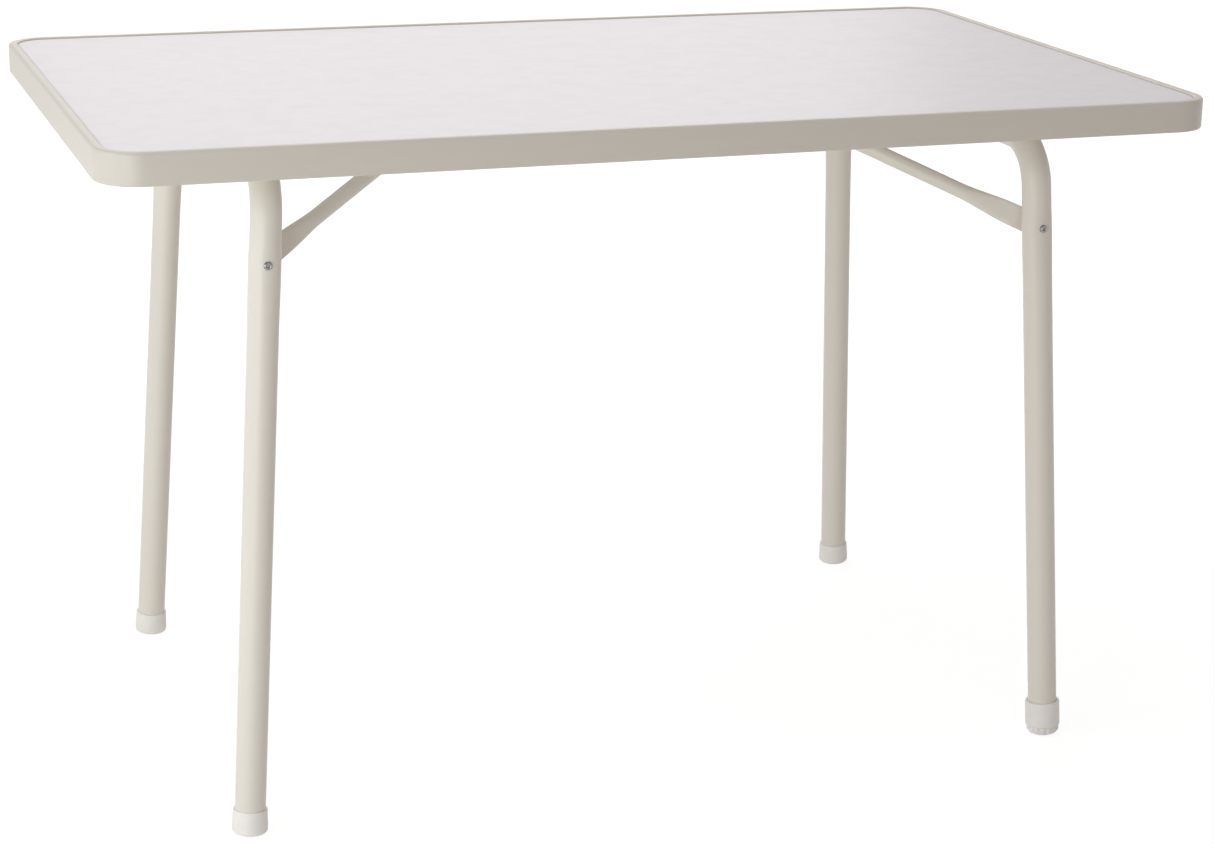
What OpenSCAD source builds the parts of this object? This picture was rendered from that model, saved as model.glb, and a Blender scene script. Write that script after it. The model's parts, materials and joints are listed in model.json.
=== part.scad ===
// Folding table with two U-shaped tube leg frames, each braced by a trapezoid stay.
// The origin is on the floor under the middle of the top: +X along the top, +Z up.
// side is -1 for the left leg frame and 1 for the right one; end is -1 front, 1 rear.

/* [Tabletop] */
// Length over the edge rim
top_l = 1150; // [1140:1:1160]
// Width over the edge rim
top_w = 700; // [694:1:706]
// Height of the rim's top above the floor
table_h = 710; // [708:1:720]
// Height of the edge rim
rim_h = 32; // [30:1:36]
// Corner radius of the top, seen from above
corner_r = 45; // [30:1:60]
// Width of the raised lip round the tabletop
lip_w = 10; // [8:0.5:12]
// Thickness of the panel, from the underside sheet to the lip
panel_t = 17; // [15:0.5:18]

/* [Leg frames] */
// Outer diameter of the leg tube
leg_d = 30; // [28:0.5:30]
// Wall of the leg tube
leg_wall = 1.2; // [1:0.1:1.5]
// Centreline radius of the two bends
bend_r = 50; // [45:1:60]
// Sideways splay of each leg in the plane of its frame
splay = 3.06; // [2:0.01:4]
// Distance of the feet from the middle, across the table
foot_y = 295; // [285:1:300]
// Crossbar distance from the middle, left frame
left_pivot_x = 402; // [400:1:404]
// Crossbar height, left frame
left_pivot_z = 670; // [669:1:671]
// Foot distance from the middle, left frame
left_foot_x = 442; // [436:1:448]
// Crossbar distance from the middle, right frame
right_pivot_x = 414; // [412:1:416]
// Crossbar height, right frame, lower so that it folds over the left one
right_pivot_z = 658; // [657:1:659]
// Foot distance from the middle, right frame
right_foot_x = 447; // [441:1:453]

/* [Stays] */
// Diameter of the stay tube
stay_d = 16; // [14:0.5:16]
// Wall of the stay tube
stay_wall = 1; // [0.8:0.1:1.5]
// Height of the flattened end
tab_h = 24; // [22:1:25]
// Thickness of the flattened end
tab_t = 3.6; // [3:0.1:4]
// Half width between the corners where the arms meet the bar
stay_half_w = 85; // [81:1:89]
// Centreline radius of the stay's corners
stay_bend_r = 35; // [30:1:40]
// Height of the bar that rests in the catch
bar_z = 679; // [678:0.5:680]
// Distance from crossbar to rivet down the leg, left frame
left_rivet_drop = 90; // [88:1:94]
// Bar distance from the middle, left stay
left_bar_x = 184; // [180:1:188]
// Distance from crossbar to rivet down the leg, right frame
right_rivet_drop = 90; // [88:1:94]
// Bar distance from the middle, right stay
right_bar_x = 184; // [180:1:188]

/* [Feet] */
// Height of a foot cap
cap_h = 25; // [22:1:30]
// Diameter at a cap's mouth
cap_top_d = 34.5; // [34:0.1:36]
// Diameter at a cap's base
cap_base_d = 36.5; // [36:0.1:38]
// Diameter of the levelling foot's sleeve
sleeve_d = 37.5; // [36:0.5:39]
// Number of grip flutes round the adjuster
flute_count = 14; // [10:1:20]

/* [Bearings] */
// Distance of the bearings from the middle, across the table
bearing_y = 140; // [130:1:160]
// Length of a bearing along the crossbar
bearing_l = 26; // [22:1:30]
// Width of a bearing over its screw ears
bearing_w = 66; // [64:1:70]

/* [Hidden] */
$fn = 64;

cream = [0.91, 0.90, 0.85];
powder_cream = [0.90, 0.88, 0.84];
cap_white = [0.94, 0.94, 0.93];
LEFT = -1;
RIGHT = 1;
FRONT = -1;
REAR = 1;
eps = 0.01;
far = 200;             // reach of a cutting block past its part
part_gap = 0.3;        // space kept between two pieces that move
seat_gap = 0.05;       // space kept between two pieces that stay together
run_gap = 0.07;        // radial play of a turning fit
swage_l = 3;           // length of the faint ring where a bend meets a straight tube
swage_rise = 0.1;

// Panel and rim, heights measured down from the rim's top
lip_t = 3;
skin_drop = 1.5;
sheet_t = 1.2;
rim_wall = 4;
shelf_w = 16;
shelf_t = 2;
rim_top_r = 3.5;
rim_base_r = 1.5;
lip_edge_r = 2;
groove_w = 0.3;        // reveal between the lip and the tabletop skin
panel_z = table_h - lip_t - panel_t;

// Screws
screw_r = 2;
screw_head_r = 4.2;
screw_head_h = 2.8;
screw_dome_r = 6;
recess_l = 4.4;        // cross recess: arm length, arm width and depth
recess_w = 1;
recess_deep = 1.6;
screw_bite = 12;       // length held in the panel's core
ear_h = 6;
ear_x = 26;            // screw distance from the crossbar axis
bearing_cup_r = 20;
block_edge_r = 4;

// Stay catch, measured from the bar's axis
catch_l = 70;
catch_back = 29;
catch_front = 6;
catch_base = 11.5;
catch_r = stay_d / 2 + 0.4;
mouth_slope = 27;
mouth_half = catch_r - 0.2;
catch_screw_x = 20;
catch_screw_y = 24;
catch_recess = 5;
catch_recess_r = 4.8;
catch_bevel = 5.6;

// Rivets and spacers
rivet_r = 3;
rivet_head_r = 4.2;
rivet_head_h = 2.4;
spacer_r = 8;
spacer_t = 1.6;        // least thickness between leg and stay
tab_end_u = 14;        // where the flattened end starts to open out
tab_root = 2;          // start of the arm's axis back from there
tab_back = 4;          // reach of the opening-out back into the flattened end
flare_half = 1.5;      // half thickness of the opening-out at its root
flare_over = 0.6;      // its reach past the round tube
arm_start = 72;        // distance along the arm where the tube is round again
vent_r = 2;

// Feet, heights measured up the leg's axis from the base
cap_edge_r = 4;
cap_floor = 5;
sole_r = 12.5;
sole_h = 3.2;
sole_edge_r = 1;
sole_stem_r = 2.9;
sole_stem_h = 8;
adjuster_z0 = 1.5;
adjuster_h = 8.5;
adjuster_r = 17.6;
adjuster_base_r = 15.2;
adjuster_bevel = 3.5;
stud_r = 5;
stud_h = 35;
sleeve_h = 27.6;
sleeve_gap = 0.4;      // space above the adjuster when it is wound right in
sleeve_z0 = adjuster_z0 + adjuster_h + sleeve_gap;
sleeve_floor = 5.6;
sleeve_edge_r = 1.6;
flute_r = 2.2;
flute_inset = 1;       // smooth band left above the flutes

function pick(side, left, right) = side < 0 ? left : right;
function pivot_x(side) = pick(side, left_pivot_x, right_pivot_x);
function pivot_z(side) = pick(side, left_pivot_z, right_pivot_z);
function foot_x(side) = pick(side, left_foot_x, right_foot_x);
function rivet_drop(side) = pick(side, left_rivet_drop, right_rivet_drop);
function bar_x(side) = pick(side, left_bar_x, right_bar_x);

// Outward tilt of a frame's plane, and the lean of one leg from the vertical
function tilt(side) = atan((foot_x(side) - pivot_x(side)) / pivot_z(side));
function lean(side) = acos(cos(tilt(side)) * cos(splay));
// Height of a foot's base centre above the floor, for a base radius and edge radius
function base_rise(side, r, edge_r) =
    (r - edge_r) * sin(lean(side)) + edge_r * (1 - cos(lean(side)));
function cap_rise(side) = base_rise(side, cap_base_d / 2, cap_edge_r);
function sole_rise(side) = base_rise(side, sole_r, sole_edge_r);
// Length from the crossbar's height down the leg to the floor point of its axis
function leg_len(side) = pivot_z(side) / (cos(tilt(side)) * cos(splay));
// Half width of a frame where the leg axes meet the crossbar's axis
function corner_y(side) = foot_y - leg_len(side) * sin(splay);
function leg_y(side) = corner_y(side) + rivet_drop(side) * tan(splay);
function rivet_x(side) = pivot_x(side) + rivet_drop(side) * sin(tilt(side));
function rivet_z(side) = pivot_z(side) - rivet_drop(side) * cos(tilt(side));
// Stay, in its own plane
function stay_c(side) = norm([rivet_x(side) - bar_x(side), bar_z - rivet_z(side)]);
function stay_rise(side) = atan((bar_z - rivet_z(side)) / (rivet_x(side) - bar_x(side)));
function tab_outer_y(side) = leg_y(side) - leg_d / 2 - spacer_t - part_gap;
function tab_inner_y(side) = tab_outer_y(side) - tab_t;
function arm_y0(side) = tab_outer_y(side) - tab_t / 2;
function arm_turn(side) =
    atan((arm_y0(side) - stay_half_w) / arm_run(side));
function arm_run(side) = stay_c(side) - tab_end_u + tab_root;
function bar_turn(side) = 90 - arm_turn(side);

function bearing_screw_sites(side) = [
    for (end = [FRONT, REAR]) for (dx = [-ear_x, ear_x])
        [side * pivot_x(side) + dx, end * bearing_y]
];
function catch_screw_sites(side) = [
    for (dy = [-catch_screw_y, catch_screw_y])
        [side * (bar_x(side) + catch_screw_x), dy]
];
function all_screw_sites() = concat(
    bearing_screw_sites(LEFT), bearing_screw_sites(RIGHT),
    catch_screw_sites(LEFT), catch_screw_sites(RIGHT)
);

// ---- Placement ----

// Frame's own axes: crossbar along Y at the origin, legs down local -Z
module at_frame(side) {
    translate([side * pivot_x(side), 0, pivot_z(side)])
        rotate([0, -side * tilt(side), 0])
            children();
}

// Leg's own axes: origin where the leg axis meets the crossbar's height
module at_leg(side, end) {
    at_frame(side)
        translate([0, end * corner_y(side), 0])
            rotate([end * splay, 0, 0])
                children();
}

// Foot's own axes: local Z up the leg from the centre of its base
module at_foot(side, end, rise) {
    at_leg(side, end)
        translate([0, 0, -leg_len(side) + rise / cos(lean(side))])
            children();
}

// Stay's own axes: rivets along Y at the origin, bar at local +X
module at_stay(side) {
    translate([side * rivet_x(side), 0, rivet_z(side)])
        rotate([0, 0, side > 0 ? 180 : 0])
            rotate([0, -stay_rise(side), 0])
                children();
}

// Rivet's own axes: local Z points out of the frame at one rivet
module at_rivet(side, end) {
    translate([side * rivet_x(side), 0, rivet_z(side)])
        rotate([-90 * end, 0, 0])
            children();
}

module at_sites(sites, z) {
    for (site = sites)
        translate([site[0], site[1], z])
            children();
}

// ---- Shared shapes ----

// Flat outline of the top, drawn in by a distance from the rim's face
module top_outline(inset) {
    rounded_rect(top_l - 2 * inset, top_w - 2 * inset, corner_r - inset);
}

module rounded_rect(l, w, r) {
    square([l - 2 * r, w], center = true);
    square([l, w - 2 * r], center = true);
    for (x = [-1, 1]) for (y = [-1, 1])
        translate([x * (l / 2 - r), y * (w / 2 - r)])
            circle(r = r);
}

// Pan-head screw with a cross recess: head below the origin, shank up
module pan_screw(shank_l) {
    cylinder(h = shank_l, r = screw_r);
    difference() {
        intersection() {
            translate([0, 0, -screw_head_h])
                cylinder(h = screw_head_h, r = screw_head_r);
            translate([0, 0, screw_dome_r - screw_head_h])
                sphere(r = screw_dome_r);
        }
        for (a = [0, 90])
            rotate(a)
                translate([0, 0, -screw_head_h])
                    cube([recess_l, recess_w, 2 * recess_deep], center = true);
    }
}

// Bend of round bar, starting at the origin along +X and turning towards -Y
// on a centre at [0, -turn_r]. A faint swage ring marks each end of the bend.
module bent_rod(turn_r, r, angle) {
    translate([0, -turn_r, 0])
        rotate([0, 0, 90 - angle]) {
            rotate_extrude(angle = angle)
                translate([turn_r, 0])
                    circle(r = r);
            for (a = [0, angle])
                rotate([0, 0, a])
                    translate([turn_r, 0, 0])
                        rotate([90, 0, 0])
                            cylinder(h = swage_l, r = r + swage_rise, center = true);
        }
}

// ---- Tabletop ----

module panel_sheet(inset, z0, z1) {
    difference() {
        translate([0, 0, z0])
            linear_extrude(z1 - z0)
                top_outline(inset);
        at_sites(all_screw_sites(), panel_z - eps)
            cylinder(h = screw_bite + 1, r = screw_r + seat_gap);
    }
}

module top_skin() {
    color(cap_white)
        translate([0, 0, table_h - lip_t])
            linear_extrude(lip_t - skin_drop)
                top_outline(lip_w + groove_w);
}

module top_core() {
    color("burlywood")
        panel_sheet(rim_wall, panel_z + sheet_t, panel_z + panel_t);
}

module underside_sheet() {
    color(cap_white)
        panel_sheet(rim_wall, panel_z, panel_z + sheet_t);
}

// Section of the edge rim: X is the distance out from the corner's centre
module rim_section() {
    difference() {
        union() {
            translate([corner_r - rim_wall, -rim_h])
                square([rim_wall, rim_h]);
            translate([corner_r - lip_w, -lip_t])
                square([lip_w, lip_t]);
            translate([corner_r - shelf_w, -lip_t - panel_t - shelf_t])
                square([shelf_w, shelf_t]);
        }
        edge_waste(corner_r, 0, rim_top_r, 1);
        edge_waste(corner_r - lip_w, 0, lip_edge_r, 1, -1);
        edge_waste(corner_r, -rim_h, rim_base_r, -1);
        edge_waste(corner_r - rim_wall, -rim_h, rim_base_r, -1, -1);
    }
}

// Waste left outside a rounded corner whose sharp point is at [x, y]
module edge_waste(x, y, r, up, out = 1) {
    difference() {
        translate([x - out * r / 2 + out * eps, y - up * r / 2 + up * eps])
            square(r + 2 * eps, center = true);
        translate([x - out * r, y - up * r])
            circle(r = r);
    }
}

module edge_rim() {
    color(cream)
        translate([0, 0, table_h]) {
            for (turn = [0, 180])
                rotate(turn)
                    rim_side(top_l, top_w);
            for (turn = [90, 270])
                rotate(turn)
                    rim_side(top_w, top_l);
        }
}

// One straight side at +X of a rectangle, with the corner that follows it
module rim_side(l, w) {
    translate([l / 2 - corner_r, 0, 0])
        rotate([90, 0, 0])
            linear_extrude(w - 2 * corner_r, center = true)
                rim_section();
    translate([l / 2 - corner_r, w / 2 - corner_r, 0])
        rotate_extrude(angle = 90)
            rim_section();
}

// ---- Bearings ----

module bearing_block(z0, z1) {
    translate([0, 0, z0])
        linear_extrude(z1 - z0)
            rounded_rect(bearing_w, bearing_l, block_edge_r);
}

module bearing_bore(side, end) {
    translate([side * pivot_x(side), end * bearing_y, pivot_z(side)])
        rotate([90, 0, 0])
            cylinder(h = 2 * bearing_l, r = leg_d / 2 + run_gap, center = true);
}

module bearing_base(side, end) {
    color(cap_white)
        difference() {
            translate([side * pivot_x(side), end * bearing_y, 0])
                bearing_block(pivot_z(side), panel_z);
            bearing_bore(side, end);
            at_sites(bearing_screw_sites(side), pivot_z(side) - eps)
                cylinder(h = far, r = screw_r + seat_gap);
        }
}

module bearing_clamp(side, end) {
    color(cap_white)
        difference() {
            translate([side * pivot_x(side), end * bearing_y, 0]) {
                bearing_block(pivot_z(side) - ear_h, pivot_z(side));
                difference() {
                    translate([0, 0, pivot_z(side)])
                        rotate([90, 0, 0])
                            cylinder(h = bearing_l, r = bearing_cup_r, center = true);
                    translate([0, 0, pivot_z(side) + far / 2])
                        cube(far, center = true);
                }
            }
            bearing_bore(side, end);
            at_sites(bearing_screw_sites(side), pivot_z(side) - ear_h - eps)
                cylinder(h = ear_h + 2 * eps, r = screw_r + seat_gap);
        }
}

module bearing_screws(side) {
    seat_z = pivot_z(side) - ear_h;
    color("silver")
        at_sites(bearing_screw_sites(side), seat_z)
            pan_screw(panel_z + screw_bite - seat_z);
}

// ---- Stay catches ----

// Hooked section in the plane of the fold: X points to the middle of the table
module catch_section(side) {
    top = panel_z - bar_z;
    difference() {
        translate([-catch_back, -catch_base])
            square([catch_back + catch_front, catch_base + top]);
        circle(r = catch_r);
        rotate(-mouth_slope)
            translate([0, -mouth_half])
                square([far, 2 * mouth_half]);
        rotate(-mouth_slope / 2)
            translate([0, -mouth_half])
                square([far, 2 * mouth_half]);
        translate([-catch_back, -catch_base])
            rotate(45)
                square(catch_bevel * sqrt(2), center = true);
    }
}

module stay_catch(side) {
    color(cap_white)
        difference() {
            translate([side * bar_x(side), 0, bar_z])
                rotate([90, 0, side > 0 ? 180 : 0])
                    linear_extrude(catch_l, center = true)
                        catch_section(side);
            at_sites(catch_screw_sites(side), bar_z - catch_base - eps)
                cylinder(h = far, r = screw_r + seat_gap);
            at_sites(catch_screw_sites(side), bar_z - catch_base - eps)
                cylinder(h = catch_recess, r = catch_recess_r);
        }
}

module stay_catch_screws() {
    seat_z = bar_z - catch_base + catch_recess;
    color("silver")
        for (side = [LEFT, RIGHT])
            at_sites(catch_screw_sites(side), seat_z)
                pan_screw(panel_z + screw_bite - seat_z);
}

// ---- Leg frames ----

// Solid U of a given rod radius, its legs cut off a distance above the floor point
module frame_rod(side, r, cut_front, cut_rear) {
    turn = 90 - splay;
    tangent = bend_r * tan(turn / 2);
    half = corner_y(side) - tangent;
    rotate([90, 0, 0])
        cylinder(h = 2 * half, r = r, center = true);
    for (end = [FRONT, REAR]) {
        leg_l = leg_len(side) - tangent - (end > 0 ? cut_rear : cut_front);
        translate([0, end * half, 0])
            rotate([90, 0, 90 * end])
                bent_rod(bend_r, r, turn);
        translate([0, end * corner_y(side), 0])
            rotate([end * splay, 0, 0])
                translate([0, 0, -tangent - leg_l])
                    cylinder(h = leg_l, r = r);
    }
}

module leg_frame(side) {
    cap_cut = cap_floor + cap_rise(side) / cos(lean(side));
    sleeve_cut = sleeve_z0 + sleeve_floor + sole_rise(side) / cos(lean(side));
    front_cut = pick(side, cap_cut, sleeve_cut);
    color(powder_cream)
        difference() {
            at_frame(side)
                frame_rod(side, leg_d / 2, front_cut, cap_cut);
            at_frame(side)
                frame_rod(side, leg_d / 2 - leg_wall, front_cut - 1, cap_cut - 1);
            translate([side * rivet_x(side), 0, rivet_z(side)])
                rotate([90, 0, 0])
                    cylinder(h = 2 * foot_y + far, r = rivet_r + seat_gap, center = true);
        }
}

// ---- Rivets and spacers ----

// Stepped shank from the domed outer head to the flattened inner one
module rivet(side, end) {
    outer_y = leg_y(side) + leg_d / 2 + part_gap;
    inner_y = tab_inner_y(side) - part_gap;
    color("gainsboro")
        at_rivet(side, end) {
            translate([0, 0, inner_y])
                cylinder(h = outer_y - inner_y, r = rivet_r);
            rivet_dome(outer_y);
            mirror([0, 0, 1])
                rivet_dome(-inner_y);
        }
}

// Domed head standing on a plane
module rivet_dome(z) {
    dome_r = (rivet_head_r * rivet_head_r + rivet_head_h * rivet_head_h)
        / (2 * rivet_head_h);
    translate([0, 0, z])
        intersection() {
            translate([0, 0, rivet_head_h - dome_r])
                sphere(r = dome_r);
            cylinder(h = rivet_head_h + 1, r = rivet_head_r);
        }
}

// Saddle-shaped spacer between the leg and the stay's flattened end
module spacer(side, end) {
    face_y = leg_y(side) - leg_d / 2 - spacer_t;
    color(cap_white)
        difference() {
            at_rivet(side, end)
                translate([0, 0, face_y])
                    cylinder(h = leg_d / 2, r = spacer_r);
            at_leg(side, end)
                mirror([0, 0, 1])
                    cylinder(h = leg_len(side), r = leg_d / 2 + seat_gap);
            at_rivet(side, end)
                cylinder(h = far * 2, r = rivet_r + seat_gap);
        }
}

// ---- Stays ----

// Solid rod along both arms and the bar, from a distance along each arm
module stay_rod(side, r, start) {
    turn = bar_turn(side);
    tangent = stay_bend_r * tan(turn / 2);
    arm_l = norm([arm_run(side), arm_y0(side) - stay_half_w]);
    translate([stay_c(side), 0, 0])
        rotate([90, 0, 0])
            cylinder(h = 2 * (stay_half_w - tangent), r = r, center = true);
    for (end = [FRONT, REAR])
        mirror([0, end > 0 ? 0 : 1, 0])
            translate([tab_end_u - tab_root, arm_y0(side), 0])
                rotate([0, 0, -arm_turn(side)]) {
                    translate([start, 0, 0])
                        rotate([0, 90, 0]) {
                            cylinder(h = arm_l - tangent - start, r = r);
                            cylinder(h = swage_l, r = r + swage_rise, center = true);
                        }
                    translate([arm_l - tangent, 0, 0])
                        bent_rod(stay_bend_r, r, turn);
                }
}

// Flattened end that opens out into the round arm: a cone pinched to a wedge
module stay_tab(side, end) {
    arm_y = arm_y0(side);
    flare = (tab_h - stay_d) / 2 / arm_start;
    mirror([0, end > 0 ? 0 : 1, 0]) {
        translate([0, arm_y, 0])
            rotate([90, 0, 0])
                linear_extrude(tab_t, center = true) {
                    circle(d = tab_h);
                    translate([0, -tab_h / 2])
                        square([tab_end_u, tab_h]);
                }
        translate([tab_end_u - tab_root, arm_y, 0])
            rotate([0, 0, -arm_turn(side)])
                intersection() {
                    translate([-tab_back, 0, 0])
                        rotate([0, 90, 0])
                            cylinder(
                                h = arm_start + tab_back,
                                r1 = tab_h / 2 + flare * tab_back,
                                r2 = stay_d / 2
                            );
                    linear_extrude(tab_h, center = true)
                        polygon([
                            [0, -flare_half], [0, flare_half],
                            [arm_start + 1, stay_d / 2 + flare_over],
                            [arm_start + 1, -stay_d / 2 - flare_over]
                        ]);
                }
    }
}

module stay(side) {
    color(powder_cream)
        difference() {
            union() {
                at_stay(side)
                    stay_rod(side, stay_d / 2, arm_start);
                at_stay(side)
                    for (end = [FRONT, REAR])
                        stay_tab(side, end);
            }
            at_stay(side)
                stay_rod(side, stay_d / 2 - stay_wall, arm_start + 2 * stay_wall);
            at_stay(side)
                rotate([90, 0, 0])
                    cylinder(h = 2 * foot_y, r = rivet_r + run_gap, center = true);
            // Vent hole under each arm
            at_stay(side)
                for (end = [FRONT, REAR])
                    translate([stay_c(side) / 2, end * (stay_half_w + arm_y0(side)) / 2, -stay_d])
                        cylinder(h = stay_d, r = vent_r);
        }
}

// ---- Feet ----

module cap_section() {
    base_r = cap_base_d / 2;
    polygon([
        [0, 0], [base_r - cap_edge_r, 0], [base_r - cap_edge_r, cap_edge_r],
        [base_r, cap_edge_r], [cap_top_d / 2, cap_h], [0, cap_h]
    ]);
    translate([base_r - cap_edge_r, cap_edge_r])
        intersection() {
            circle(r = cap_edge_r);
            translate([0, -cap_edge_r])
                square(cap_edge_r);
        }
}

module foot_cap(side, end) {
    color(cap_white)
        at_foot(side, end, cap_rise(side))
            difference() {
                rotate_extrude()
                    cap_section();
                translate([0, 0, cap_floor])
                    cylinder(h = cap_h, r = leg_d / 2 + seat_gap);
            }
}

module at_level_foot() {
    at_foot(RIGHT, FRONT, sole_rise(RIGHT))
        children();
}

module level_sleeve() {
    color(cap_white)
        at_level_foot()
            difference() {
                translate([0, 0, sleeve_z0])
                    rotate_extrude()
                        difference() {
                            square([sleeve_d / 2, sleeve_h]);
                            edge_waste(sleeve_d / 2, sleeve_h, sleeve_edge_r, 1);
                        }
                translate([0, 0, sleeve_z0 + sleeve_floor])
                    cylinder(h = sleeve_h, r = leg_d / 2 + seat_gap);
                cylinder(h = far, r = stud_r + run_gap);
            }
}

// Fluted grip ring and its stud, with a pocket for the sole pad
module level_adjuster() {
    color(cap_white)
        at_level_foot()
            difference() {
                union() {
                    translate([0, 0, adjuster_z0])
                        adjuster_ring();
                    translate([0, 0, adjuster_z0])
                        cylinder(h = adjuster_h + stud_h, r = stud_r);
                }
                translate([0, 0, -eps])
                    cylinder(h = sole_h + part_gap + eps, r = sole_r + part_gap);
                translate([0, 0, -eps])
                    cylinder(h = sole_stem_h + 1, r = sole_stem_r + run_gap);
            }
}

module adjuster_ring() {
    difference() {
        rotate_extrude()
            polygon([
                [0, 0], [adjuster_base_r, 0], [adjuster_r, adjuster_bevel],
                [adjuster_r, adjuster_h], [0, adjuster_h]
            ]);
        for (i = [0 : flute_count - 1])
            rotate(i * 360 / flute_count)
                translate([adjuster_r + flute_inset, 0, -eps])
                    cylinder(h = adjuster_h - flute_inset, r = flute_r);
    }
}

module level_sole_pad() {
    color("lightgray")
        at_level_foot() {
            rotate_extrude()
                difference() {
                    square([sole_r, sole_h]);
                    edge_waste(sole_r, 0, sole_edge_r, -1);
                }
            cylinder(h = sole_stem_h, r = sole_stem_r);
        }
}

top_skin();
top_core();
underside_sheet();
edge_rim();
bearing_base(LEFT, FRONT);  // left_front_bearing_base
bearing_base(LEFT, REAR);  // left_rear_bearing_base
bearing_base(RIGHT, FRONT);  // right_front_bearing_base
bearing_base(RIGHT, REAR);  // right_rear_bearing_base
bearing_clamp(LEFT, FRONT);  // left_front_bearing_clamp
bearing_clamp(LEFT, REAR);  // left_rear_bearing_clamp
bearing_clamp(RIGHT, FRONT);  // right_front_bearing_clamp
bearing_clamp(RIGHT, REAR);  // right_rear_bearing_clamp
bearing_screws(LEFT);  // left_bearing_screws
bearing_screws(RIGHT);  // right_bearing_screws
stay_catch(LEFT);  // left_stay_catch
stay_catch(RIGHT);  // right_stay_catch
stay_catch_screws();
leg_frame(LEFT);  // left_leg_frame
leg_frame(RIGHT);  // right_leg_frame
stay(LEFT);  // left_stay
stay(RIGHT);  // right_stay
rivet(LEFT, FRONT);  // left_front_rivet
rivet(LEFT, REAR);  // left_rear_rivet
rivet(RIGHT, FRONT);  // right_front_rivet
rivet(RIGHT, REAR);  // right_rear_rivet
spacer(LEFT, FRONT);  // left_front_spacer
spacer(LEFT, REAR);  // left_rear_spacer
spacer(RIGHT, FRONT);  // right_front_spacer
spacer(RIGHT, REAR);  // right_rear_spacer
foot_cap(LEFT, FRONT);  // left_front_foot_cap
foot_cap(LEFT, REAR);  // left_rear_foot_cap
foot_cap(RIGHT, REAR);  // right_rear_foot_cap
level_sleeve();
level_adjuster();
level_sole_pad();
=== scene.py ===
"""Folding table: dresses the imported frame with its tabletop, rim, tube frames, stays and feet."""

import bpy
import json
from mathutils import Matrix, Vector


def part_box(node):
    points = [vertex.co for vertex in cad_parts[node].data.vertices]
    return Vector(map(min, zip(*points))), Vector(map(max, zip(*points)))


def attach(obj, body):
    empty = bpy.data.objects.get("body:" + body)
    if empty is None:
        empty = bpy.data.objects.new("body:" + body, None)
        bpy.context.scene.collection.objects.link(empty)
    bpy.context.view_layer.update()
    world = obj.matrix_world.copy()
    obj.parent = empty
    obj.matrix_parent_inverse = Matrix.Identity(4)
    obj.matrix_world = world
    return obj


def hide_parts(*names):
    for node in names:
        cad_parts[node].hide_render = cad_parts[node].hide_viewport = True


bl_info = {
    "name": "Folding Table",
    "version": (1, 0, 0),
    "blender": (4, 5, 0),
    "location": "View3D > Sidebar > Folding Table",
    "description": "Builds the surfaces of a folding table on its packed frame",
    "category": "Add Mesh",
}

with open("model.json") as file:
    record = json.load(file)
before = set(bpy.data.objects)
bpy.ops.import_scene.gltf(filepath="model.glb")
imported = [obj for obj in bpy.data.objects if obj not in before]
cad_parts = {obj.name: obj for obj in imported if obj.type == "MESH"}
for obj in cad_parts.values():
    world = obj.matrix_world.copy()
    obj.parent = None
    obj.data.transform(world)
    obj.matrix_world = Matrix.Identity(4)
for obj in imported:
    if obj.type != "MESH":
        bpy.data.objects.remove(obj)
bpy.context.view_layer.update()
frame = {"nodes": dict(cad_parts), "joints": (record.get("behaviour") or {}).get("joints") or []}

import json
import math

import bmesh
import bpy
from bpy.props import FloatProperty, FloatVectorProperty, IntProperty, PointerProperty
from mathutils import Matrix, Vector

MM = 0.001
JOINTS = {joint["name"]: joint for joint in frame["joints"]}
SIDES = ("left", "right")
ENDS = {"front": -1, "rear": 1}


def linear(red, green, blue):
    """Scene-linear colour of a display colour given in steps of 0 to 255."""
    def channel(step):
        c = step / 255
        return c / 12.92 if c <= 0.04045 else ((c + 0.055) / 1.055) ** 2.4
    return (channel(red), channel(green), channel(blue))


# ---- properties

def length(name, description, default_mm):
    """A length property, given in millimetres and kept in metres."""
    return FloatProperty(
        name=name, description=description, default=default_mm * MM,
        min=0.0, soft_max=2.0, precision=4, unit="LENGTH",
    )


def colour(name, description, default):
    """A colour property, kept scene-linear."""
    return FloatVectorProperty(
        name=name, description=description, default=default, size=3,
        min=0.0, max=1.0, subtype="COLOR",
    )


class FoldingTableSizes(bpy.types.PropertyGroup):
    corner_r: length("Top corner radius", "Corner radius of the top seen from above", 45)
    rim_round: length("Rim rounding", "Rounding of the rim's outer top edge", 3.5)
    lip_w: length("Lip width", "Width of the raised lip round the tabletop", 10)
    panel_t: length("Panel thickness", "From the underside to the lip's base", 17)
    leg_d: length("Leg tube diameter", "Outer diameter of the leg tube", 31)
    leg_bend_r: length("Leg bend radius", "Centreline radius of the bends in a frame", 50)
    foot_y: length("Foot distance", "Feet from the middle, across the table", 295)
    splay: FloatProperty(
        name="Leg splay", description="Sideways lean of a leg in its frame's plane",
        default=math.radians(3.06), min=0.0, max=0.2, subtype="ANGLE",
    )
    stay_d: length("Stay tube diameter", "Outer diameter of the stay tube", 16)
    stay_bend_r: length("Stay bend radius", "Centreline radius of the stay's corners", 35)
    stay_half_w: length("Stay half width", "Middle to where arm and bar lines meet", 85)
    tab_h: length("Stay end height", "Height of the stay's flattened end", 24)
    tab_t: length("Stay end thickness", "Thickness of the stay's flattened end", 3.6)
    cap_top_d: length("Cap mouth diameter", "Diameter of a foot cap at its mouth", 34.5)
    cap_base_d: length("Cap base diameter", "Diameter of a foot cap at its base", 36.5)
    cap_h: length("Cap height", "Height of a foot cap", 25)
    sleeve_d: length("Sleeve diameter", "Diameter of the levelling foot's sleeve", 37.5)
    flutes: IntProperty(
        name="Grip flutes", description="Flutes round the levelling ring",
        default=14, min=6, max=30,
    )


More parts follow.
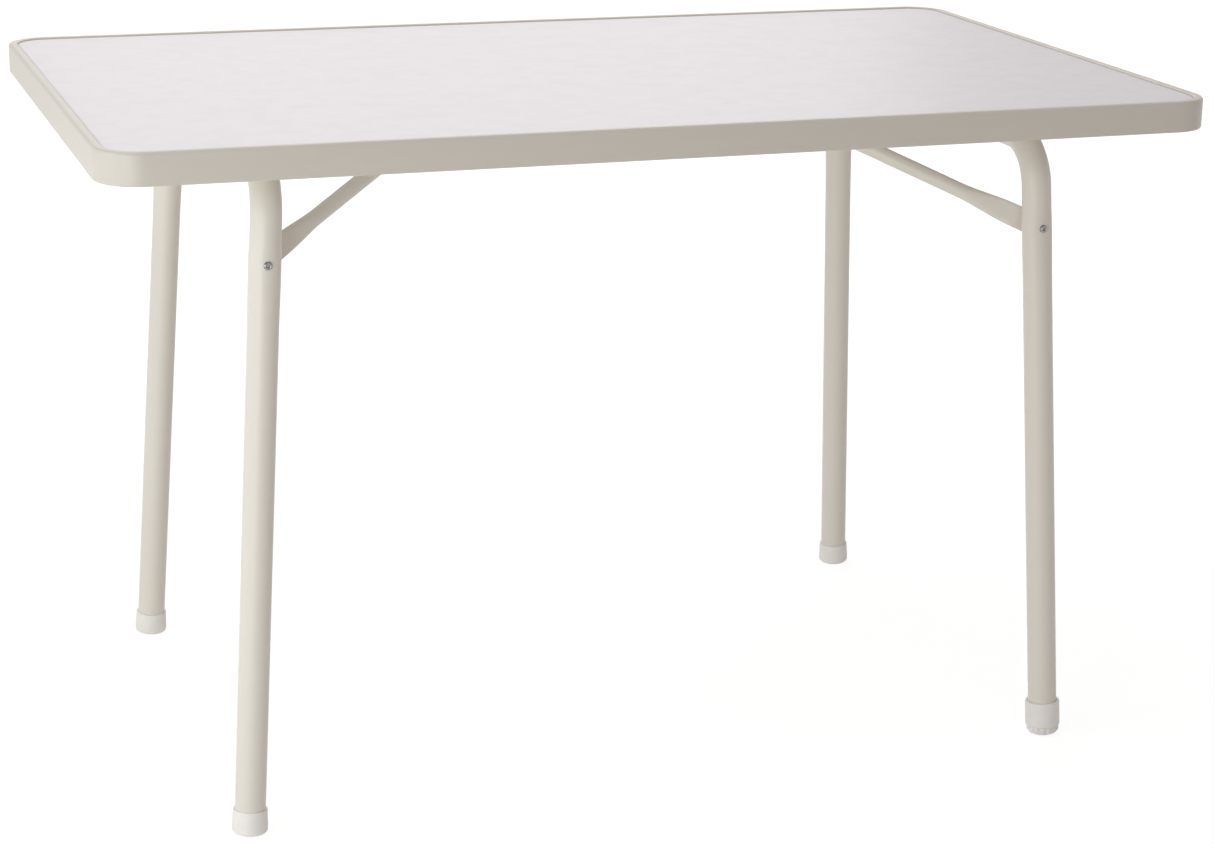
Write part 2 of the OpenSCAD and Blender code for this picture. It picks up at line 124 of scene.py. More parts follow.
class FoldingTableColours(bpy.types.PropertyGroup):
    tabletop: colour("Tabletop", "Tabletop surface", linear(238, 232, 236))
    rim: colour("Edge rim", "Moulded edge plastic", linear(219, 212, 200))
    powder: colour("Powder coat", "Paint on the frames and stays", linear(237, 230, 218))
    plastic: colour("White plastic", "Caps, bearings and catches", linear(250, 246, 240))
    sheet: colour("Underside", "Sheet under the top", linear(226, 223, 214))
    board: colour("Board", "Fibreboard core", linear(178, 150, 112))
    sole: colour("Sole", "Rubber of the levelling foot's sole", linear(188, 187, 182))
    bright: colour("Bright steel", "Plated rivets", linear(150, 150, 152))
    zinc: colour("Zinc", "Zinc-plated screws", linear(190, 193, 198))
    floor: colour("Floor", "Studio floor", linear(250, 250, 250))


def sizes():
    return bpy.context.scene.folding_table_sizes


def colours():
    return bpy.context.scene.folding_table_colours


# ---- shader maths

class Value:
    """A number that a node gives; arithmetic on it adds Math nodes."""

    def __init__(self, finish, socket):
        self.finish = finish
        self.socket = socket

    def math(self, operation, first, second):
        node = self.finish.add("ShaderNodeMath", {"operation": operation}, {0: first, 1: second})
        return Value(self.finish, node.outputs[0])

    def __add__(self, other):
        return self.math("ADD", self, other)

    __radd__ = __add__

    def __sub__(self, other):
        return self.math("SUBTRACT", self, other)

    def __rsub__(self, other):
        return self.math("SUBTRACT", other, self)

    def __mul__(self, other):
        return self.math("MULTIPLY", self, other)

    __rmul__ = __mul__

    def step(self, low, high):
        """Smooth step of the value from 0 at low to 1 at high."""
        node = self.finish.add(
            "ShaderNodeMapRange", {"interpolation_type": "SMOOTHSTEP"},
            {"Value": self, "From Min": low, "From Max": high},
        )
        return Value(self.finish, node.outputs[0])


class Nodes:
    """The nodes of one material or of the world, built from empty."""

    def __init__(self, tree):
        self.tree = tree
        tree.nodes.clear()

    def add(self, kind, settings=None, sockets=None):
        """Add a node: its settings or ramp stops first, then its sockets' values or links."""
        node = self.tree.nodes.new(kind)
        for key, setting in (settings or {}).items():
            setattr(node, key, setting)
        for key, value in (sockets or {}).items():
            source = value.socket if isinstance(value, Value) else value
            if isinstance(source, bpy.types.NodeSocket):
                self.tree.links.new(source, node.inputs[key])
            else:
                node.inputs[key].default_value = source
        return node

    def seen(self):
        """1 on rays from the camera, off gloss and through glass; 0 on rays that carry light."""
        ray = self.add("ShaderNodeLightPath").outputs
        straight = Value(self, ray["Is Camera Ray"])
        mirrored = straight.math("MAXIMUM", ray["Is Glossy Ray"], ray["Is Transmission Ray"])
        return straight.math("MAXIMUM", straight, mirrored)

    def mixed_shaders(self, factor, first, second):
        """Shader that goes from first to second with the factor."""
        return self.add(
            "ShaderNodeMixShader", None,
            {0: factor, 1: first.outputs[0], 2: second.outputs[0]},
        )

    def end(self, kind, shader):
        """Close the tree with an output of one kind."""
        output = self.add(kind)
        self.tree.links.new(shader.outputs[0], output.inputs["Surface"])


class Finish(Nodes):
    """One procedural material and the few calls that build its nodes."""

    def __init__(self, name):
        self.material = bpy.data.materials.new(name)
        self.material.use_nodes = True
        super().__init__(self.material.node_tree)
        self.place = self.add("ShaderNodeTexCoord").outputs["Object"]

    def stretched(self, scale):
        """Object place scaled along its axes, for grain that runs one way."""
        node = self.add("ShaderNodeMapping", None, {"Vector": self.place, "Scale": scale})
        return node.outputs[0]

    def noise(self, size_mm, detail=2.0, rough=0.5, place=None):
        """Noise from 0 to 1 whose patches are about size_mm across."""
        node = self.add(
            "ShaderNodeTexNoise", None,
            {
                "Vector": place or self.place, "Scale": 1 / (size_mm * MM),
                "Detail": detail, "Roughness": rough,
            },
        )
        return Value(self, node.outputs[0])

    def cells(self, size_mm, place=None):
        """Distance to the nearest point of a random scatter, about 0 to 1."""
        node = self.add(
            "ShaderNodeTexVoronoi", None,
            {"Vector": place or self.place, "Scale": 1 / (size_mm * MM)},
        )
        return Value(self, node.outputs["Distance"])

    def mixed(self, factor, first, second):
        """Colour that goes from first to second with the factor."""
        node = self.add(
            "ShaderNodeMix", {"data_type": "RGBA"},
            {0: factor, 6: opaque(first), 7: opaque(second)},
        )
        return node.outputs[2]

    def bump(self, height, depth_mm, strength=1.0, under=None):
        """Normal raised by a height from 0 to 1 that stands depth_mm tall."""
        sockets = {"Height": height, "Distance": depth_mm * MM, "Strength": strength}
        if under is not None:
            sockets["Normal"] = under
        return self.add("ShaderNodeBump", None, sockets).outputs[0]

    def surface(self, **sockets):
        """Close the material with a Principled surface."""
        named = {key.replace("_", " "): value for key, value in sockets.items()}
        self.end("ShaderNodeOutputMaterial", self.add("ShaderNodeBsdfPrincipled", None, named))
        return self.material


def opaque(shade):
    """A colour as four numbers, leaving a socket as it is."""
    if isinstance(shade, bpy.types.NodeSocket):
        return shade
    return (*shade[:3], 1.0)


def toned(shade, factor):
    """A colour made lighter or darker, no part of it above 1."""
    return tuple(min(1.0, c * factor) for c in shade[:3])


# ---- materials

def tabletop_finish():
    """Hard white surface with a faint cloudy mottle and a fine grain to the touch."""
    f = Finish("tabletop_surface")
    base = colours().tabletop
    cloud = f.noise(34, 5, 0.62)
    fleck = f.noise(7, 4, 0.6)
    veins = f.cells(16, f.stretched((1.0, 1.6, 1.0)))
    mottle = (cloud.step(0.4, 0.66) * 0.6 + fleck.step(0.45, 0.7) * 0.25
              + veins.step(0.5, 0.85) * 0.25)
    tint = f.mixed(mottle, base, toned(base, 0.955))
    grain = f.noise(0.9, 3, 0.6)
    pebble = f.cells(1.6)
    normal = f.bump(grain * 0.5 + pebble * 0.5, 0.03, 0.55)
    return f.surface(
        Base_Color=tint, Roughness=0.34 + fleck * 0.1, Normal=normal, Specular_IOR_Level=0.45,
    )


def rim_finish():
    """Satin cream moulded plastic with long, faint flow marks."""
    f = Finish("rim_plastic")
    base = colours().rim
    flow = f.noise(60, 4, 0.6, f.stretched((0.25, 0.25, 2.2)))
    haze = f.noise(9, 3, 0.5)
    tint = f.mixed(flow.step(0.35, 0.7) * 0.55 + haze * 0.2, base, toned(base, 0.965))
    grain = f.noise(0.7, 3, 0.6)
    normal = f.bump(grain, 0.018, 0.5, f.bump(haze, 0.05, 0.25))
    return f.surface(
        Base_Color=tint, Roughness=0.34 + haze * 0.12, Normal=normal, Specular_IOR_Level=0.5,
    )


def powder_finish():
    """Cream powder coat: fine orange peel and a soft gloss."""
    f = Finish("powder_coat")
    base = colours().powder
    cloud = f.noise(80, 3, 0.5)
    speck = f.noise(1.1, 2, 0.5)
    tint = f.mixed(cloud * 0.5 + speck.step(0.5, 0.72) * 0.35, base, toned(base, 0.96))
    peel = f.noise(2.2, 2, 0.45)
    normal = f.bump(peel, 0.06, 0.35, f.bump(speck, 0.015, 0.3))
    return f.surface(
        Base_Color=tint, Roughness=0.3 + peel * 0.12, Normal=normal, Specular_IOR_Level=0.5,
    )


def plastic_finish(name, shade, rough=0.38):
    """Moulded plastic with a fine spark-eroded grain."""
    f = Finish(name)
    haze = f.noise(11, 3, 0.5)
    tint = f.mixed(haze.step(0.35, 0.75), shade, toned(shade, 0.97))
    grain = f.noise(0.5, 3, 0.65)
    normal = f.bump(grain, 0.02, 0.5)
    return f.surface(Base_Color=tint, Roughness=rough + haze * 0.1, Normal=normal)


def sheet_finish():
    """Pale backing sheet with short pressed fibres."""
    f = Finish("backing_sheet")
    base = colours().sheet
    fibre = f.noise(3, 4, 0.7, f.stretched((0.35, 1.0, 1.0)))
    cross = f.noise(3, 4, 0.7, f.stretched((1.0, 0.35, 1.0)))
    weave = fibre.step(0.42, 0.68) * 0.5 + cross.step(0.42, 0.68) * 0.5
    tint = f.mixed(weave, base, toned(base, 0.9))
    return f.surface(
        Base_Color=tint, Roughness=0.55 + weave * 0.15, Normal=f.bump(weave, 0.05, 0.5),
    )


def board_finish():
    """Fibreboard: pressed brown fibres."""
    f = Finish("fibre_board")
    base = colours().board
    fibre = f.noise(2, 6, 0.75)
    tint = f.mixed(fibre.step(0.3, 0.7), toned(base, 0.75), toned(base, 1.1))
    return f.surface(Base_Color=tint, Roughness=0.85, Normal=f.bump(fibre, 0.2, 0.6))


def rubber_finish():
    """Pale rubber with dust in its grain."""
    f = Finish("sole_rubber")
    base = colours().sole
    dust = f.noise(4, 4, 0.6)
    tint = f.mixed(dust.step(0.4, 0.7), base, toned(base, 0.88))
    return f.surface(
        Base_Color=tint, Roughness=0.78, Normal=f.bump(f.noise(0.8, 3, 0.6), 0.05, 0.6),
    )


def metal_finish(name, shade, rough, scratch):
    """Plated steel with fine handling marks."""
    f = Finish(name)
    marks = f.noise(3, 5, 0.7, f.stretched((1.0, 1.0, 0.2)))
    tint = f.mixed(marks.step(0.35, 0.7), shade, toned(shade, 0.85))
    return f.surface(
        Base_Color=tint, Metallic=1.0, Roughness=rough + marks * scratch,
        Normal=f.bump(marks, 0.01, 0.4),
    )


FINISHES = {
    "tabletop_skin": tabletop_finish,
    "edge_plastic": rim_finish,
    "powder_coat": powder_finish,
    "white_plastic": lambda: plastic_finish("white_plastic", colours().plastic),
    "underside_sheet": sheet_finish,
    "fibre_core": board_finish,
    "sole_rubber": rubber_finish,
    "rivet_steel": lambda: metal_finish("bright_steel", colours().bright, 0.1, 0.12),
    "screw_steel": lambda: metal_finish("zinc_steel", colours().zinc, 0.3, 0.2),
}
MADE_FINISHES = {}


def finish_of(slot):
    """The material of one of the record's slots, made once."""
    if slot not in MADE_FINISHES:
        MADE_FINISHES[slot] = FINISHES[slot]()
    return MADE_FINISHES[slot]


# ---- mesh building

def arc(centre, radius, start, end, steps=12):
    """Points on an arc, from one angle to another in degrees."""
    angles = [math.radians(start + (end - start) * i / steps) for i in range(steps + 1)]
    return [(centre[0] + radius * math.cos(a), centre[1] + radius * math.sin(a)) for a in angles]


def rounded_outline(corners, steps=6):
    """Closed outline through (x, y) or (x, y, radius) corners, each radius as an arc."""
    points = []
    count = len(corners)
    for i, (x, y, *rounding) in enumerate(corners):
        here = Vector((x, y))
        if not rounding or rounding[0] == 0:
            points.append(here)
            continue
        radius = rounding[0]
        back = (Vector(corners[i - 1][:2]) - here).normalized()
        ahead = (Vector(corners[(i + 1) % count][:2]) - here).normalized()
        half = back.angle(ahead) / 2
        centre = here + (back + ahead).normalized() * radius / math.sin(half)
        reach = radius / math.tan(half)
        first = here + back * reach - centre
        last = here + ahead * reach - centre
        start = math.atan2(first.y, first.x)
        turn = math.remainder(math.atan2(last.y, last.x) - start, math.tau)
        for k in range(steps + 1):
            angle = start + turn * k / steps
            points.append(centre + radius * Vector((math.cos(angle), math.sin(angle))))
    return points


def polar(radius, angle, height):
    """Point at a distance and an angle round Z."""
    return (radius * math.cos(angle), radius * math.sin(angle), height)


def skinned(rings, loop=False, capped=True):
    """Mesh data that joins rings of points; a loop joins the last ring to the first."""
    mesh = bmesh.new()
    rows = [[mesh.verts.new(point) for point in ring] for ring in rings]
    pairs = list(zip(rows, rows[1:])) + ([(rows[-1], rows[0])] if loop else [])
    for low, high in pairs:
        for i in range(len(low)):
            mesh.faces.new((low[i - 1], low[i], high[i], high[i - 1]))
    if capped and not loop:
        mesh.faces.new(reversed(rows[0]))
        mesh.faces.new(rows[-1])
    return mesh


def turned(outline, segments=64, closed=False):
    """Mesh data of an outline of (radius, height) points turned about Z."""
    angles = [math.tau * i / segments for i in range(segments)]
    rings = [[polar(radius, a, height) for a in angles] for radius, height in outline]
    mesh = skinned(rings, loop=closed, capped=False)
    bmesh.ops.remove_doubles(mesh, verts=mesh.verts, dist=1e-7)
    return mesh


def prism(outline, depth, soften):
    """Mesh data of an outline drawn out along Z about its middle, end edges softened."""
    rings = [[(x, y, z) for x, y in outline] for z in (-depth / 2, depth / 2)]
    mesh = skinned(rings)
    ends = [e for e in mesh.edges if abs(e.verts[0].co.z - e.verts[1].co.z) < depth / 4]
    bmesh.ops.bevel(
        mesh, geom=ends, offset=soften, offset_type="OFFSET", segments=2, profile=0.5,
        affect="EDGES", clamp_overlap=True,
    )
    return mesh


def stored(name, mesh):
    """A named data block of mesh data, which is freed."""
    data = bpy.data.meshes.new(name)
    mesh.to_mesh(data)
    mesh.free()
    return data


def linked(name, data):
    """An object of the scene that holds a data block."""
    made = bpy.data.objects.new(name, data)
    bpy.context.scene.collection.objects.link(made)
    return made


def piece(name, mesh, body, slot, node, place=None, crease=38):
    """Turn mesh data into a finished piece that rides on a body and stands for a node."""
    bmesh.ops.remove_doubles(mesh, verts=mesh.verts, dist=0.002 * MM)
    bmesh.ops.dissolve_degenerate(mesh, edges=mesh.edges, dist=0.002 * MM)
    bmesh.ops.recalc_face_normals(mesh, faces=mesh.faces)
    limit = math.radians(crease)
    for face in mesh.faces:
        face.smooth = True
    for edge in mesh.edges:
        if len(edge.link_faces) == 2 and edge.calc_face_angle(0.0) > limit:
            edge.smooth = False
    if place is not None:
        mesh.transform(place)
    made = linked(name, stored(name, mesh))
    made.data.materials.append(finish_of(slot))
    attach(made, body)
    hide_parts(node)


def transformed(mesh, place):
    """The same mesh data, moved to a place."""
    mesh.transform(place)
    return mesh


def joined(meshes):
    """Mesh data that holds several others, which are freed."""
    whole = bmesh.new()
    for mesh in meshes:
        data = stored("part", mesh)
        whole.from_mesh(data)
        bpy.data.meshes.remove(data)
    return whole


def carved(mesh, cutter):
    """Mesh data with another mesh's volume taken away."""
    holders = []
    for name, source in (("body", mesh), ("cutter", cutter)):
        bmesh.ops.recalc_face_normals(source, faces=source.faces)
        holders.append(linked(name, stored(name, source)))
    body, tool = holders
    cut = body.modifiers.new("cut", "BOOLEAN")
    cut.operation = "DIFFERENCE"
    cut.solver = "EXACT"
    cut.object = tool
    bpy.context.view_layer.update()
    evaluated = body.evaluated_get(bpy.context.evaluated_depsgraph_get())
    result = bmesh.new()
    result.from_mesh(evaluated.to_mesh())
    evaluated.to_mesh_clear()
    for holder in holders:
        data = holder.data
        bpy.data.objects.remove(holder)
        bpy.data.meshes.remove(data)
    return result


# ---- layout of the frames

def axes_at(origin, ahead, across):
    """Place at an origin with X and Y along two unit vectors."""
    turn = Matrix((ahead, across, ahead.cross(across))).transposed().to_4x4()
    return Matrix.Translation(origin) @ turn


class Layout:
    """Places on one leg frame and its stay, worked out from the joints and the sizes."""

    def __init__(self, side):
        s = sizes()
        self.sign = -1 if side == "left" else 1
        self.pivot = Vector(JOINTS[side + "_fold"]["pos_m"])
        self.rivet = Vector(JOINTS[side + "_stay_swing"]["pos_m"])
        drop = self.pivot - self.rivet
        self.tilt = math.atan2(abs(drop.x), drop.z)
        self.lean = math.acos(math.cos(self.tilt) * math.cos(s.splay))
        self.leg_len = self.pivot.z / (math.cos(self.tilt) * math.cos(s.splay))
        self.corner_y = s.foot_y - self.leg_len * math.sin(s.splay)
        self.leg_y = self.corner_y + drop.length * math.tan(s.splay)
        low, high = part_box(side + "_stay")
        inner_x = high.x if self.sign < 0 else low.x
        self.bar = Vector((inner_x + self.sign * s.stay_d / 2, 0, high.z - s.stay_d / 2))
        self.stay_c = (self.bar - self.rivet).length

    def frame_place(self):
        """Crossbar along Y at the origin, legs down -Z."""
        turn = Matrix.Rotation(-self.sign * self.tilt, 4, "Y")
        return Matrix.Translation(self.pivot) @ turn

    def leg_place(self, end):
        """Origin where the leg's axis meets the crossbar's height, leg down -Z."""
        shift = Matrix.Translation((0, end * self.corner_y, 0))
        return self.frame_place() @ shift @ Matrix.Rotation(end * sizes().splay, 4, "X")

    def foot_place(self, end, base_r, edge_r):
        """Z up the leg from the centre of a foot whose lowest point is on the floor."""
        rise = (base_r - edge_r) * math.sin(self.lean) + edge_r * (1 - math.cos(self.lean))
        along = rise / math.cos(self.lean) - self.leg_len
        return self.leg_place(end) @ Matrix.Translation((0, 0, along))

    def stay_place(self):
        """Rivet axis along Y at the origin, the bar at +X."""
        ahead = (self.bar - self.rivet).normalized()
        return axes_at(self.rivet, ahead, Vector((0, -self.sign, 0)))

    def rivet_place(self, end):
        """Z out of the frame along the rivet's axis."""
        turn = Matrix.Rotation(-end * math.pi / 2, 4, "X")
        return Matrix.Translation(self.rivet) @ turn

    def section_place(self, centre):
        """X to the middle of the table, Y up, Z along the fold's axis."""
        return axes_at(centre, Vector((-self.sign, 0, 0)), Vector((0, 0, 1)))


# ---- tabletop

def outline_round(inset, z, corner_steps=20):
    """Ring round the top, drawn in from the rim's face by a distance."""
    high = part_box("edge_rim")[1]
    r = sizes().corner_r
    half = Vector((high.x - r, high.y - r))
    ring = []
    for corner, (sx, sy) in enumerate(((1, 1), (-1, 1), (-1, -1), (1, -1))):
        for k in range(corner_steps + 1):
            a = math.pi / 2 * (corner + k / corner_steps)
            reach = r - inset
            ring.append((sx * half.x + reach * math.cos(a), sy * half.y + reach * math.sin(a), z))
    return ring


class FOLDINGTABLE_OT_tabletop(bpy.types.Operator):
    """Build the tabletop surface inside the lip"""
    bl_idname = "folding_table.tabletop"
    bl_label = "Tabletop surface"

    def execute(self, context):
        low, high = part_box("top_skin")
        groove = 0.3 * MM
        fall_w = 3.2 * MM
        fall_h = 0.7 * MM
        steps = 8
        edge = sizes().lip_w + groove
        rings = [outline_round(edge, low.z)]
        for k in range(steps + 1):
            a = math.pi / 2 * k / steps
            inset = edge + fall_w * (1 - math.cos(a))
            rings.append(outline_round(inset, high.z - fall_h * (1 - math.sin(a))))
        rings.append(outline_round(edge + 2 * fall_w, high.z))
        piece("tabletop_surface", skinned(rings), "top", "tabletop_skin", "top_skin")
        return {"FINISHED"}


class FOLDINGTABLE_OT_rim(bpy.types.Operator):
    """Build the moulded edge with its beaded lip and the shelf under the panel"""
    bl_idname = "folding_table.rim"
    bl_label = "Edge rim"

    def execute(self, context):
        s = sizes()
        low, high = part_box("edge_rim")
        wall = 4 * MM
        shelf = 16 * MM
        shelf_t = 2 * MM
        lip_t = 3 * MM
        bead_w = 2.2 * MM
        bead_h = 1.9 * MM
        panel_low = high.z - lip_t - s.panel_t
        section = rounded_outline([
            (0, low.z, 1.6 * MM),
            (0, high.z, s.rim_round),
            *self.bead(s.lip_w - bead_w, s.lip_w, high.z, bead_h),
            (s.lip_w, high.z - lip_t),
            (wall, high.z - lip_t),
            (wall, panel_low),
            (shelf, panel_low, 0.4 * MM),
            (shelf, panel_low - shelf_t, 0.6 * MM),
            (wall, panel_low - shelf_t, 1.5 * MM),
            (wall, low.z, 1.2 * MM),
        ], 8)
        rings = [outline_round(inset, z) for inset, z in section]
        piece("rim_moulding", skinned(rings, loop=True), "top", "edge_plastic", "edge_rim")
        return {"FINISHED"}

    def bead(self, start, end, top, drop, steps=10):
        """Lip's inner side: a curve that falls from the level ridge, steeper to its end."""
        angles = [math.pi / 2 * k / steps for k in range(steps + 1)]
        reach = end - start
        return [(start + reach * math.sin(a), top - drop * (1 - math.cos(a))) for a in angles]


class FOLDINGTABLE_OT_panel(bpy.types.Operator):
    """Give the core and the backing sheet their finishes"""
    bl_idname = "folding_table.panel"
    bl_label = "Core and underside"

    def execute(self, context):
        for node, slot in (("top_core", "fibre_core"), ("underside_sheet", "underside_sheet")):
            dress(node, slot)
        return {"FINISHED"}


def dress(node, slot):
    """Give a carried-over solid its finish."""
    made = frame["nodes"][node]
    made.data.materials.clear()
    made.data.materials.append(finish_of(slot))


# ---- bearings and catches

BEARING_Y = 140 * MM        # bearings from the middle, across the table
BEARING_L = 26 * MM         # length of a bearing along the crossbar
EAR_X = 33 * MM             # half width of a bearing with its screw ears
EAR_H = 6 * MM              # height of a clamp's ears
CUP_R = 20 * MM             # outer radius of a clamp
SCREW_X = 26 * MM           # bearing screws from the crossbar's axis
CATCH_SCREW_X = 20 * MM     # catch screws from the bar's axis
CATCH_SCREW_Y = 24 * MM     # catch screws from the middle, across the table
CATCH_BASE = 11.5 * MM      # lowest face of a catch below the bar's axis
CATCH_RECESS = 5 * MM       # depth of the holes that take the screw heads
SCREW_TURN = 0.7            # radians that each screw is turned from the one before


class FOLDINGTABLE_OT_bearings(bpy.types.Operator):
    """Build the four bearings that hold the crossbars under the top"""
    bl_idname = "folding_table.bearings"
    bl_label = "Crossbar bearings"

    def execute(self, context):
        running_play = 0.07 * MM
        bore = sizes().leg_d / 2 + running_play
        blunt = 0.8 * MM
        for side in SIDES:
            layout = Layout(side)
            for end_name, end in ENDS.items():
                stem = side + "_" + end_name + "_bearing_"
                centre = layout.pivot + Vector((0, end * BEARING_Y, 0))
                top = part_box(stem + "base")[1].z - centre.z
                base = [(EAR_X, 0, blunt), (EAR_X, top), (-EAR_X, top), (-EAR_X, 0, blunt)]
                base = rounded_outline(base, 4) + arc((0, 0), bore, 180, 0, 32)
                cup_x = math.sqrt(CUP_R ** 2 - EAR_H ** 2)
                low_angle = math.degrees(math.atan2(-EAR_H, cup_x))
                cup = [
                    (EAR_X, 0), (EAR_X, -EAR_H, 1.5 * MM),
                    *arc((0, 0), CUP_R, low_angle, -180 - low_angle, 28),
                    (-EAR_X, -EAR_H, 1.5 * MM), (-EAR_X, 0),
                ]
                cup = rounded_outline(cup, 5) + arc((0, 0), bore, 180, 360, 32)
                place = layout.section_place(centre)
                for part, outline in (("base", base), ("clamp", cup)):
                    piece(
                        stem + part + "_block", prism(outline, BEARING_L, blunt), "top",
                        "white_plastic", stem + part, place,
                    )
        return {"FINISHED"}


class FOLDINGTABLE_OT_catches(bpy.types.Operator):
    """Build the hooked catches that hold the stays' bars"""
    bl_idname = "folding_table.catches"
    bl_label = "Stay catches"

    def execute(self, context):
        seat = sizes().stay_d / 2 + 0.4 * MM
        jaw_degrees = 27
        lip_degrees = jaw_degrees / 2
        slope = math.radians(jaw_degrees)
        lip_slope = slope / 2
        cut = 5.6 * MM
        hole_r = 4.8 * MM
        hole_over = 1 * MM
        for side in SIDES:
            layout = Layout(side)
            node = side + "_stay_catch"
            low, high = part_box(node)
            back = -(abs(low.x if layout.sign < 0 else high.x) - abs(layout.bar.x))
            front = abs(layout.bar.x) - abs(high.x if layout.sign < 0 else low.x)
            base = low.z - layout.bar.z
            top = high.z - layout.bar.z
            jaw = Vector((-seat * math.sin(slope), -seat * math.cos(slope)))
            jaw_x = jaw.x + (jaw.y - base) / math.tan(slope)
            lip = Vector((seat * math.sin(lip_slope), seat * math.cos(lip_slope)))
            lip_y = lip.y - (front - lip.x) * math.tan(lip_slope)
            outline = rounded_outline([
                (front, top), (back, top), (back, base + cut, 2 * MM),
                (back + cut, base, 2 * MM), (jaw_x, base, 1.2 * MM),
                *arc((0, 0), seat, 270 - jaw_degrees, 90 - lip_degrees, 30),
                (front, lip_y, 0.8 * MM),
            ], 5)
            block = prism(outline, high.y - low.y, 1.2 * MM)
            hole_l = CATCH_RECESS + hole_over
            holes = []
            for y in (-CATCH_SCREW_Y, CATCH_SCREW_Y):
                hole = turned([(0, 0), (hole_r, 0), (hole_r, hole_l), (0, hole_l)], 32)
                mouth = Matrix.Translation((-CATCH_SCREW_X, base - hole_over, y))
                holes.append(transformed(hole, mouth @ Matrix.Rotation(-math.pi / 2, 4, "X")))
            piece(
                node + "_hook", carved(block, joined(holes)), "top", "white_plastic", node,
                layout.section_place(layout.bar),
            )
        return {"FINISHED"}


def screw_mesh(shank_l):
    """Pan-head screw with a cross recess, head below the origin."""
    head_r = 4.2 * MM
    head_h = 2.8 * MM
    shank_r = 2 * MM
    dome_r = 6 * MM
    dome_edge = -44.4
    dome = arc((0, dome_r - head_h), dome_r, -90, dome_edge, 8)
    outline = dome + [(head_r, -0.3 * MM), (head_r - 0.2 * MM, 0), (shank_r, 0)]
    outline += [(shank_r, shank_l - shank_r), (0, shank_l)]
    half_l, half_w, deep = 2.2 * MM, 0.5 * MM, 1.6 * MM
    bars = []
    for turn in (0, math.pi / 2):
        bar = [(-half_l, -half_w), (half_l, -half_w), (half_l, half_w), (-half_l, half_w)]
        rings = [[(x, y, z) for x, y in bar] for z in (-head_h - deep, -head_h + deep)]
        bars.append(transformed(skinned(rings), Matrix.Rotation(turn, 4, "Z")))
    head = turned(outline, 32)
    for bar in bars:
        head = carved(head, bar)
    return head


class FOLDINGTABLE_OT_screws(bpy.types.Operator):
    """Build the screws of the bearings and the catches"""
    bl_idname = "folding_table.screws"
    bl_label = "Screws"

    def execute(self, context):
        bite = 20 * MM
        for side in SIDES:
            layout = Layout(side)
            seat = layout.pivot.z - EAR_H
            spots = [
                Vector((layout.pivot.x + dx, end * BEARING_Y, seat))
                for end in ENDS.values() for dx in (-SCREW_X, SCREW_X)
            ]
            self.place_screws(side + "_bearing_screw_set", spots, side + "_bearing_screws", bite)
        seat_drop = CATCH_BASE - CATCH_RECESS
        spots = []
        for side in SIDES:
            layout = Layout(side)
            x = layout.bar.x + layout.sign * CATCH_SCREW_X
            z = layout.bar.z - seat_drop
            spots += [Vector((x, y, z)) for y in (-CATCH_SCREW_Y, CATCH_SCREW_Y)]
        self.place_screws("catch_screw_set", spots, "stay_catch_screws", bite)
        return {"FINISHED"}

    def place_screws(self, name, spots, node, shank_l):
        """One object of like screws, each turned a little from the last."""
        meshes = []
        for i, spot in enumerate(spots):
            turn = Matrix.Rotation(SCREW_TURN * i, 4, "Z")
            meshes.append(transformed(screw_mesh(shank_l), Matrix.Translation(spot) @ turn))
        piece(name, joined(meshes), "top", "screw_steel", node, crease=30)


# ---- tubes

SPACER_T = 1.6 * MM         # spacer between a leg and its stay
PLAY = 0.3 * MM             # gap on each side of a stay's flattened end
CAP_FLOOR = 5 * MM          # thickness of a foot cap under the tube
BENT = 0.04                 # share by which a bend flattens the tube
PRESSED = 0.04              # share by which a rivet squashes the tube it goes through


def smooth(t):
    """Smooth step from 0 to 1."""
    t = min(1.0, max(0.0, t))
    return t * t * (3 - 2 * t)


def tube_ring(centre, across, normal, half_w, half_h, power=2.0, count=56):
    """Ring of a rounded section: power 2 is an ellipse, more is squarer."""
    ring = []
    for i in range(count):
        a = math.tau * i / count
        c, s = math.cos(a), math.sin(a)
        x = math.copysign(abs(c) ** (2 / power), c) * half_w
        y = math.copysign(abs(s) ** (2 / power), s) * half_h
        ring.append(centre + across * x + normal * y)
    return ring


def bend_points(start, heading, radius, turn, steps):
    """Points and headings along a bend that turns clockwise, in a plane."""
    made = []
    left = Vector((-heading.y, heading.x))
    centre = start - left * radius
    for k in range(steps + 1):
        a = -turn * k / steps
        spin = Matrix.Rotation(a, 2)
        made.append((centre + spin @ (left * radius), spin @ heading, k / steps))
    return made


def frame_mesh(layout, foot_cuts):
    """Bent leg tube, in the frame's own plane: Y across, Z up."""
    s = sizes()
    turn = math.pi / 2 - s.splay
    tangent = s.leg_bend_r * math.tan(turn / 2)
    half = layout.corner_y - tangent
    down = Vector((math.sin(s.splay), -math.cos(s.splay)))
    corner = Vector((layout.corner_y, 0))
    bend = bend_points(Vector((half, 0)), Vector((1, 0)), s.leg_bend_r, turn, 28)
    rivet = (layout.pivot - layout.rivet).length
    after_bend, before_rivet = 6 * MM, 26 * MM
    fine, coarse = 4 * MM, 12 * MM
    halves = []
    for end, cut in zip(ENDS.values(), foot_cuts):
        foot = layout.leg_len - cut
        falls = [tangent + after_bend, rivet - before_rivet]
        falls += [rivet + k * fine for k in range(-5, 4)]
        falls += [rivet + k * coarse for k in range(2, 7)]
        falls += [rivet + (foot - rivet) * t for t in (0.3, 0.5, 0.75, 0.97, 1.0)]
        rings = [
            station_ring(point, heading, turned_by, 0.0, end)
            for point, heading, turned_by in bend
        ]
        rings += [
            station_ring(corner + down * fall, down, 1.0, pressed_by(fall - rivet), end)
            for fall in falls
        ]
        halves.append(rings)
    return skinned(halves[0][::-1] + halves[1])


